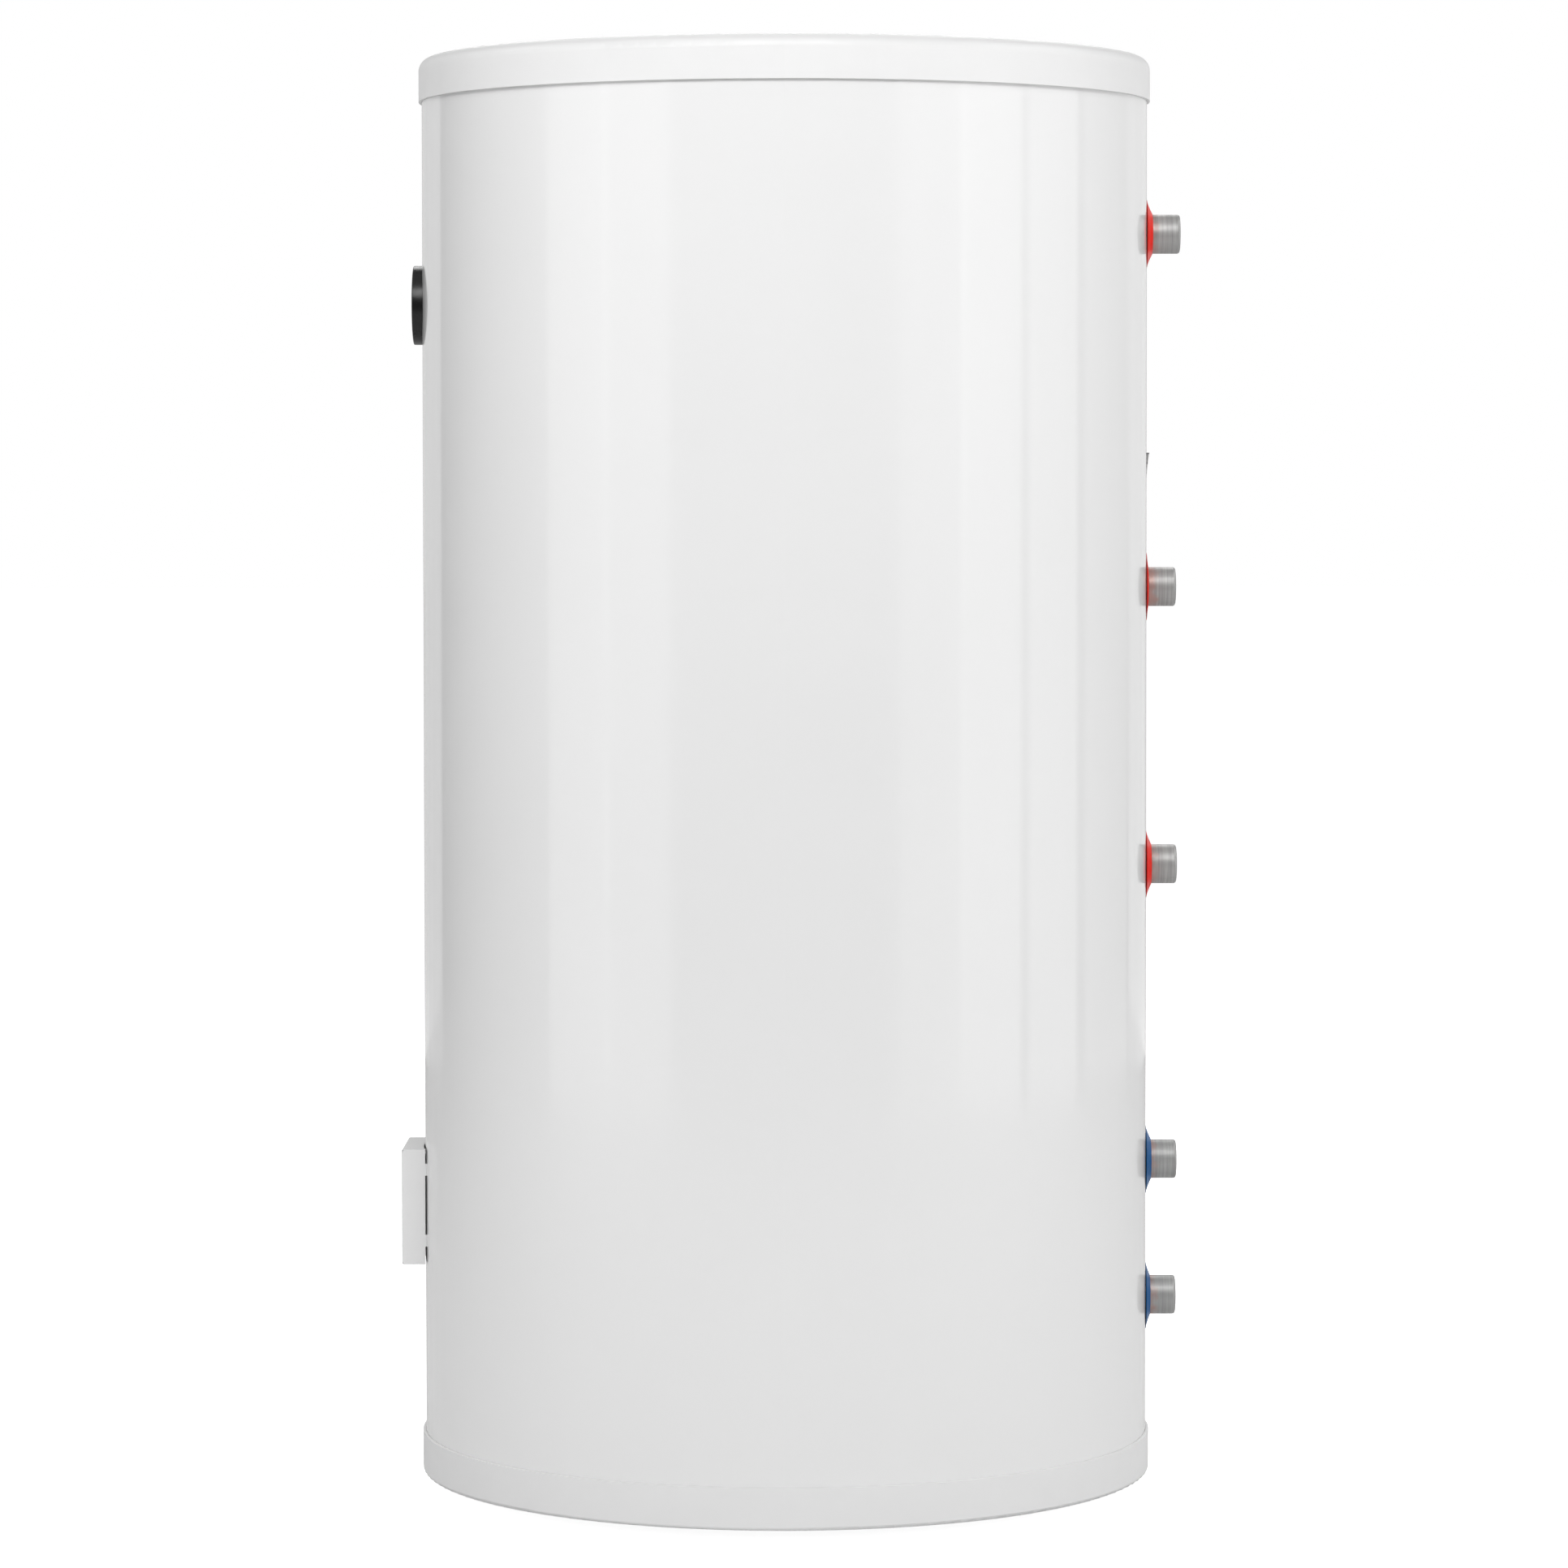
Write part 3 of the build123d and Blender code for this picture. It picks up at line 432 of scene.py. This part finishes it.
slot_of = {row["node"]: row["material_slot"] for row in record["subparts"]}
for node, slot_name in slot_of.items():
    nodes[node].data.materials.clear()
    nodes[node].data.materials.append(MATERIALS[slot_name])
# the top cap gets the white plastic with painted shade on its upward-facing surfaces
nodes["top_cap"].data.materials[0] = dusty_abs("dusty_abs")


def piece_for(name, shape, body, *replaced, material=None, crease=35.0):
    """A piece in place of the nodes replaced, in their slot and material."""
    slot_name = slot_of[replaced[0]]
    made = add_piece(name, *shape, body, material or MATERIALS[slot_name], crease)
    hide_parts(*replaced)
    return made


# ---------------------------------------------------------------- collars and sockets

SOCKET_R = (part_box("hot_outlet_socket")[1].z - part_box("hot_outlet_socket")[0].z) / 2
THREAD_R = MOUNTS["hot_outlet"]["dims"]["r_mm"] * MM
THREAD_PITCH = 1.814 * MM  # G1/2
THREAD_DEPTH = 1.16 * MM
THREAD_END = 17.0 * MM  # depth of the thread's run-out under the mouth
PASSAGE_R = 7.5 * MM


def collar(port):
    """A trumpet-shaped rosette: a thin, springy rim on the round jacket, and a neck round the socket."""
    low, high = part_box(port + "_collar")
    rim = (high.z - low.z) / 2
    rise = span(port + "_collar", OUT)[1] - JACKET_R
    neck = SOCKET_R + 0.15 * MM
    lip = neck + 0.5 * MM
    edge = 0.35 * MM
    steps = 24
    outer = []
    for k in range(steps + 1):
        t = k / steps
        outer.append((edge + (rise - edge) * t**1.35, rim + (lip - rim) * t))
    inner = [(rise - 0.1 * MM, neck), (0.0, neck), (0.0, rim - 0.3 * MM)]
    origin = OUT * JACKET_R + UP * PORT_Z[port]
    follow = 0.3  # how far the rim bends with the jacket; the rest is a gap at its two sides

    def bed(point):
        aside = point.dot(ACROSS)
        return follow * (sqrt(JACKET_R**2 - aside**2) - JACKET_R)

    shape = lathe(outer + inner, origin, OUT, lift=bed)
    return piece_for(port + "_rosette", shape, "tank", port + "_collar", crease=50)


def socket(port):
    """A turned socket with rounded rims and a cut internal thread."""
    inner_end, mouth = span(port + "_socket", OUT)
    run_in = mouth - 1.0 * MM
    thread_end = mouth - THREAD_END
    turns = (run_in - thread_end) / THREAD_PITCH
    rings = round(turns * 10)
    corners = [(mouth, SOCKET_R, 1.9 * MM), (mouth, THREAD_R + 1.2 * MM, 0.15 * MM)]
    outline = rounded([(inner_end, SOCKET_R, 0), *corners, (run_in, THREAD_R + 0.1 * MM, 0)])
    outline += [(run_in + (thread_end - run_in) * k / rings, THREAD_R) for k in range(rings + 1)]
    outline += [(thread_end - 1.8 * MM, PASSAGE_R), (inner_end, PASSAGE_R)]

    def thread(along, radius, angle):
        if radius != THREAD_R:
            return 0.0
        phase = (along / THREAD_PITCH - angle / (2 * pi)) % 1.0
        run_out = min(1.0, (along - thread_end) / THREAD_PITCH)
        return THREAD_DEPTH * run_out * (0.5 - 0.5 * cos(2 * pi * phase))

    shape = lathe(outline, UP * PORT_Z[port], OUT, widen=thread)
    return piece_for(port + "_turned", shape, "tank", port + "_socket", crease=50)


for port in PORTS:
    collar(port)
    socket(port)

# ---------------------------------------------------------------- thermometer

GAUGE = middle("thermometer_dial")
GAUGE_R = (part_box("thermometer_dial")[1].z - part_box("thermometer_dial")[0].z) / 2
GAUGE_FACE = -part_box("thermometer_dial")[0].y  # distances from the tank's axis, along the front
BEZEL_FRONT = -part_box("thermometer_bezel")[0].y
BEZEL_R = (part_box("thermometer_bezel")[1].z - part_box("thermometer_bezel")[0].z) / 2
LENS_FRONT = -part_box("thermometer_lens")[0].y
LENS_BACK = -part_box("thermometer_lens")[1].y
LENS_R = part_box("thermometer_lens")[1].x
SCALE_TOP = 120  # degrees Celsius at the scale's right-hand end
SCALE_START = radians(210)
SCALE_SWEEP = radians(240)


def scale_angle(degree):
    return SCALE_START - SCALE_SWEEP * degree / SCALE_TOP


def gauge_bezel():
    """A black ring with a stepped front edge, turned in one piece."""
    back = JACKET_R - 2.8 * MM
    outline = rounded(
        [
            (back, BEZEL_R, 0),
            (BEZEL_FRONT, BEZEL_R, 0.7 * MM),
            (BEZEL_FRONT, LENS_R + 0.6 * MM, 0.4 * MM),
            (LENS_FRONT + 0.1 * MM, LENS_R - 1.4 * MM, 0.2 * MM),
            (LENS_FRONT, LENS_R - 1.4 * MM, 0),
            (LENS_FRONT, LENS_R + 0.05 * MM, 0),
            (back, LENS_R + 0.05 * MM, 0),
        ]
    )

    def bed(point):
        if point.dot(FRONT) > back + 0.1 * MM:
            return 0.0
        aside = point.dot(RIGHT)
        return sqrt(JACKET_R**2 - aside**2) - back

    shape = lathe(outline, UP * GAUGE.z, FRONT, lift=bed)
    return piece_for("gauge_bezel", shape, "tank", "thermometer_bezel")


def gauge_lens():
    """A lens with a faint dome and a rounded edge."""
    steps = 20
    outline = [(LENS_BACK, 0.0), (LENS_BACK, LENS_R)]
    for k in range(steps + 1):
        radius = LENS_R * (1 - k / steps)
        sag = 0.5 * MM * (radius / LENS_R) ** 2
        outline.append((LENS_FRONT - sag, radius))
    shape = lathe(outline, UP * GAUGE.z, FRONT)
    return piece_for("gauge_lens", shape, "tank", "thermometer_lens")


def gauge_scale():
    """Printed arc, ticks and figures, 0 to 120 degrees."""
    proud = GAUGE_FACE
    parts = []

    def bar(angle, inner, outer, width):
        place = front_place(0, GAUGE.z, proud, angle)
        box = [(inner, -width / 2), (outer, -width / 2), (outer, width / 2), (inner, width / 2)]
        return plate(box, place, PRINT_DEPTH)

    rim = GAUGE_R - 2.6 * MM
    figures_r = 11.6 * MM
    for degree in range(0, SCALE_TOP + 1, 2):
        long = degree % 10 == 0
        inner = rim - (2.2 if long else 1.2) * MM
        parts.append(bar(scale_angle(degree), inner, rim, (0.35 if long else 0.16) * MM))
    steps = 96
    arc = []
    for radius in (rim, rim + 0.25 * MM):
        ring = [scale_angle(SCALE_TOP * k / steps) for k in range(steps + 1)]
        points = [(radius * cos(a), radius * sin(a)) for a in ring]
        arc += points if radius == rim else points[::-1]
    parts.append(plate(arc, front_place(0, GAUGE.z, proud), PRINT_DEPTH))
    for degree in range(0, SCALE_TOP + 1, 20):
        a = scale_angle(degree)
        place = front_place(figures_r * cos(a), GAUGE.z + figures_r * sin(a), proud)
        parts.append(wording(str(degree), 3.1 * MM, place))
    parts.append(wording("\u00b0C", 3.4 * MM, front_place(0, GAUGE.z - 10.5 * MM, proud)))
    printed = add_piece("gauge_scale", *joined(*parts), "tank", PRINT)


def gauge_pointer():
    """A tapered needle with a counterweight and a domed hub."""
    low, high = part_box("thermometer_pointer")
    back, front = -high.y, -low.y
    reading = scale_angle(20)
    half, tip, tail = 0.75 * MM, GAUGE_R - 4.6 * MM, -6.0 * MM
    off_face = 0.35 * MM
    needle = [(tail, -1.2 * MM), (tail + 2 * MM, -half), (tip - 1 * MM, -0.22 * MM), (tip, 0)]
    needle += [(u, -v) for u, v in reversed(needle[:3])]
    blade = plate(needle, front_place(0, GAUGE.z, GAUGE_FACE + off_face, reading), 0.25 * MM)
    hub = [(back, 0.0), (back, 2.2 * MM), (front - 0.3 * MM, 2.2 * MM)]
    hub += [(front - 0.05 * MM, 1.6 * MM), (front, 0.8 * MM), (front, 0.0)]
    turned = lathe(hub, UP * GAUGE.z, FRONT, 48)
    return piece_for("gauge_needle", joined(blade, turned), "thermometer_pointer", "thermometer_pointer")


gauge_bezel()
gauge_lens()
gauge_scale()
gauge_pointer()

# ---------------------------------------------------------------- thermostat

KNOB = middle("thermostat_dial")
KNOB_R = (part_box("thermostat_dial")[1].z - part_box("thermostat_dial")[0].z) / 2
KNOB_FRONT = -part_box("thermostat_dial")[0].y
CONTROL_FACE = -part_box("thermostat_body")[0].y
KNOB_RECESS = 0.6 * MM
KNOB_START = 225  # degrees
KNOB_SWEEP = 270


def knob():
    """A fluted knob with a raised rim and a pointer line, on its shaft."""
    flutes = 18
    back = CONTROL_FACE + 0.4 * MM
    shaft_back, shaft_r = CONTROL_FACE - 8 * MM, 3.0 * MM
    outline = [(shaft_back, 0.0), (shaft_back, shaft_r), (back, shaft_r)]
    outline += rounded(
        [
            (back, KNOB_R, 0.3 * MM),
            (KNOB_FRONT, KNOB_R, 0.8 * MM),
            (KNOB_FRONT, KNOB_R - 2.5 * MM, 0.3 * MM),
            (KNOB_FRONT - KNOB_RECESS, KNOB_R - 3.2 * MM, 0.3 * MM),
        ]
    )[:-1]
    outline += [(KNOB_FRONT - KNOB_RECESS, KNOB_R - 3.4 * MM), (KNOB_FRONT - KNOB_RECESS, 0.0)]

    def flute(along, radius, angle):
        if radius < KNOB_R - 1.5 * MM or along < back:
            return 0.0
        return -0.7 * MM * (0.5 + 0.5 * cos(flutes * angle)) ** 3

    origin = RIGHT * KNOB.x + UP * KNOB.z
    body = lathe(outline, origin, FRONT, 288, widen=flute)
    return piece_for("thermostat_knob", body, "thermostat_dial", "thermostat_dial")


def knob_mark():
    place = front_place(KNOB.x, KNOB.z, KNOB_FRONT - KNOB_RECESS)
    line = [(-0.5 * MM, 2 * MM), (0.5 * MM, 2 * MM), (0.5 * MM, 8.2 * MM), (-0.5 * MM, 8.2 * MM)]
    mark = add_piece("thermostat_knob_mark", *plate(line, place, 0.3 * MM), "thermostat_dial", PRINT)


def control_scale():
    """Ticks printed round the knob, over the angle that it turns."""
    parts = []
    steps = 10
    half = 0.15 * MM
    for k in range(steps + 1):
        a = radians(KNOB_START - KNOB_SWEEP * k / steps)
        place = front_place(KNOB.x, KNOB.z, CONTROL_FACE, a)
        inner = KNOB_R + 1.0 * MM
        outer = inner + (1.6 if k % 2 == 0 else 1.0) * MM
        tick = [(inner, -half), (outer, -half), (outer, half), (inner, half)]
        parts.append(plate(tick, place, PRINT_DEPTH))
    printed = add_piece("thermostat_scale", *joined(*parts), "tank", MATERIALS["dial_plastic"])


knob()
knob_mark()
control_scale()

# ---------------------------------------------------------------- label and jacket seam


def label():
    """A blank film label on the jacket, lifting at its upper corner on the +X side."""
    low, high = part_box("rating_label")
    thick, glue = 0.3 * MM, 0.02 * MM
    corners = [atan2(v.co.y, v.co.x) for v in nodes["rating_label"].data.vertices]
    start = min(corners)
    sweep = max(corners) - start
    columns, rows = 60, 40
    reach_u, reach_v, peel = 0.13, 0.32, 2.0 * MM
    verts, faces = [], []
    for side in (0, 1):
        for j in range(rows + 1):
            for i in range(columns + 1):
                u, v = i / columns, j / rows
                near = max(0.0, 1 - u / reach_u - (1 - v) / reach_v)
                lift = peel * near**1.6
                radius = JACKET_R + glue + lift + side * thick
                a = start + sweep * u
                verts.append(Vector((radius * cos(a), radius * sin(a), low.z + (high.z - low.z) * v)))
    layer = (rows + 1) * (columns + 1)

    def at(i, j, side):
        return side * layer + j * (columns + 1) + i

    for j in range(rows):
        for i in range(columns):
            faces.append((at(i, j, 1), at(i + 1, j, 1), at(i + 1, j + 1, 1), at(i, j + 1, 1)))
            faces.append((at(i, j, 0), at(i, j + 1, 0), at(i + 1, j + 1, 0), at(i + 1, j, 0)))
    for i in range(columns):
        faces.append((at(i, 0, 0), at(i + 1, 0, 0), at(i + 1, 0, 1), at(i, 0, 1)))
        faces.append((at(i, rows, 1), at(i + 1, rows, 1), at(i + 1, rows, 0), at(i, rows, 0)))
    for j in range(rows):
        faces.append((at(0, j, 1), at(0, j + 1, 1), at(0, j + 1, 0), at(0, j, 0)))
        faces.append((at(columns, j, 0), at(columns, j + 1, 0), at(columns, j + 1, 1), at(columns, j, 1)))
    film = piece_for("film_label", (verts, faces), "tank", "rating_label")
    layout = film.data.uv_layers.new(name="label")
    for loop in film.data.loops:
        co = film.data.vertices[loop.vertex_index].co
        u = (atan2(co.y, co.x) - start) / sweep
        layout.data[loop.index].uv = (1 - u, (co.z - low.z) / (high.z - low.z))


def jacket_seam():
    """The folded seam where the jacket's sheet closes, up the side away from the connections."""
    half, rise, soft = 5.0 * MM, 0.8 * MM, 1.2 * MM
    section = []
    steps = 6
    for side in (-1, 1):
        for k in range(steps + 1):
            t = k / steps if side == -1 else 1 - k / steps
            section.append((side * (half - soft * t), rise * (0.5 - 0.5 * cos(pi * t))))
    low, high = SEAM_LOW - 1.0 * MM, SEAM_HIGH + 1.0 * MM
    verts = []
    for z in (low, high):
        for aside, proud in section:
            a = pi + aside / JACKET_R
            radius = JACKET_R - 0.1 * MM + proud
            verts.append(Vector((radius * cos(a), radius * sin(a), z)))
    faces = ring_faces(2, len(section), closed_rings=False)
    seam = add_piece("jacket_seam", verts, faces, "tank", MATERIALS["white_enamel"], crease=60)


label()
jacket_seam()

# ---------------------------------------------------------------- camera, light and floor

# The camera stands on the +X side, a little above the tank's mid-height, and looks slightly down.
CAMERA_AT = (3.8363, 0.0, 0.6841)
CAMERA_LENS = 129.7  # millimetres, on a 36 mm sensor
CAMERA_SHIFT = (-0.0006, -0.0596)
CAMERA_PITCH = radians(2.2)
CAMERA_ROLL = radians(0.069)


def add_camera():
    data = bpy.data.cameras.new("camera")
    data.lens = CAMERA_LENS
    data.sensor_width = 36.0
    data.shift_x, data.shift_y = CAMERA_SHIFT
    camera = bpy.data.objects.new("camera", data)
    bpy.context.scene.collection.objects.link(camera)
    towards_tank = Euler((radians(90) - CAMERA_PITCH, 0, radians(90))).to_matrix()
    turn = towards_tank @ Matrix.Rotation(-CAMERA_ROLL, 3, "Z")
    camera.matrix_world = Matrix.Translation(CAMERA_AT) @ turn.to_4x4()
    bpy.context.scene.camera = camera


# Soft boxes round the tank, which the camera doesn't see. Each has its azimuth from +X towards +Y
# (degrees), distance from the tank's axis, height, width, tallness (metres) and power (watts).
AIM = Vector((0, 0, 0.6))
FILL = 0.12
SOFT_BOXES = [
    (1, 0.3, 3.2, 2.0, 2.0, 6.0),
    (0, 2.0, 2.3, 1.6, 1.0, 45.0),
    (90, 2.0, 2.3, 1.6, 1.0, 17.5),
    (180, 2.0, 2.3, 1.6, 1.0, 18.0),
    (-90, 2.0, 2.3, 1.6, 1.0, 12.7),
    (-45, 2.0, 2.3, 1.6, 1.0, 6.1),
    (-65, 2.6, 0.75, 1.0, 1.7, 5.4),
    (-45, 2.6, 0.75, 1.0, 1.7, 4.5),
    (45, 2.6, 0.75, 1.0, 1.7, 3.8),
    (65, 2.6, 0.75, 1.0, 1.7, 7.0),
    (90, 2.6, 0.75, 1.0, 1.7, 5.6),
    (120, 2.6, 0.9, 1.4, 1.8, 4.2),
    (150, 2.6, 0.9, 1.4, 1.8, 2.9),
    (-150, 2.6, 0.9, 1.4, 1.8, 2.0),
    (180, 2.6, 1.0, 5.0, 2.4, 13.0),
]


def add_soft_box(azimuth, distance, height, width, tallness, power):
    data = bpy.data.lights.new("soft_box", "AREA")
    data.shape = "RECTANGLE"
    data.size = width
    data.size_y = tallness
    data.energy = power
    light = bpy.data.objects.new("soft_box", data)
    bpy.context.scene.collection.objects.link(light)
    a = radians(azimuth)
    at = Vector((distance * cos(a), distance * sin(a), height))
    turn = (at - AIM).to_track_quat("Z", "Y").to_matrix().to_4x4()
    light.matrix_world = Matrix.Translation(at) @ turn
    light.visible_camera = False


def add_studio():
    """White walls that light the tank faintly, and the soft boxes."""
    world = bpy.data.worlds.new("studio")
    bpy.context.scene.world = world
    world.use_nodes = True
    tree = world.node_tree
    walls = tree.nodes["Background"]
    walls.inputs["Strength"].default_value = FILL
    backdrop = tree.nodes.new("ShaderNodeBackground")
    backdrop.inputs["Strength"].default_value = 1.0
    pick = tree.nodes.new("ShaderNodeMixShader")
    seen = tree.nodes.new("ShaderNodeLightPath").outputs["Is Camera Ray"]
    tree.links.new(seen, pick.inputs["Fac"])
    tree.links.new(walls.outputs[0], pick.inputs[1])
    tree.links.new(backdrop.outputs[0], pick.inputs[2])
    tree.links.new(pick.outputs[0], tree.nodes["World Output"].inputs["Surface"])
    for background in (walls, backdrop):
        background.inputs["Color"].default_value = (1, 1, 1, 1)
    for soft_box in SOFT_BOXES:
        add_soft_box(*soft_box)


def add_floor(half=30.0):
    """A pale floor, bright enough in the picture to meet the white backdrop without a line."""
    mesh = bpy.data.meshes.new("floor")
    corners = [(-half, -half, 0), (half, -half, 0), (half, half, 0), (-half, half, 0)]
    mesh.from_pydata(corners, [], [(0, 1, 2, 3)])
    floor = bpy.data.objects.new("floor", mesh)
    bpy.context.scene.collection.objects.link(floor)
    look = Look("floor")
    look.set(Base_Color=(0.72, 0.72, 0.72, 1), Roughness=0.9, Specular_IOR_Level=0.1)
    look.set(Emission_Color=(1, 1, 1, 1))
    seen = look.node("ShaderNodeLightPath").outputs["Is Camera Ray"]
    look.set(Emission_Strength=look.math("MULTIPLY", seen, 0.93))
    mesh.materials.append(look.material)


add_camera()
add_studio()
add_floor()
bpy.context.scene.view_settings.view_transform = "Standard"
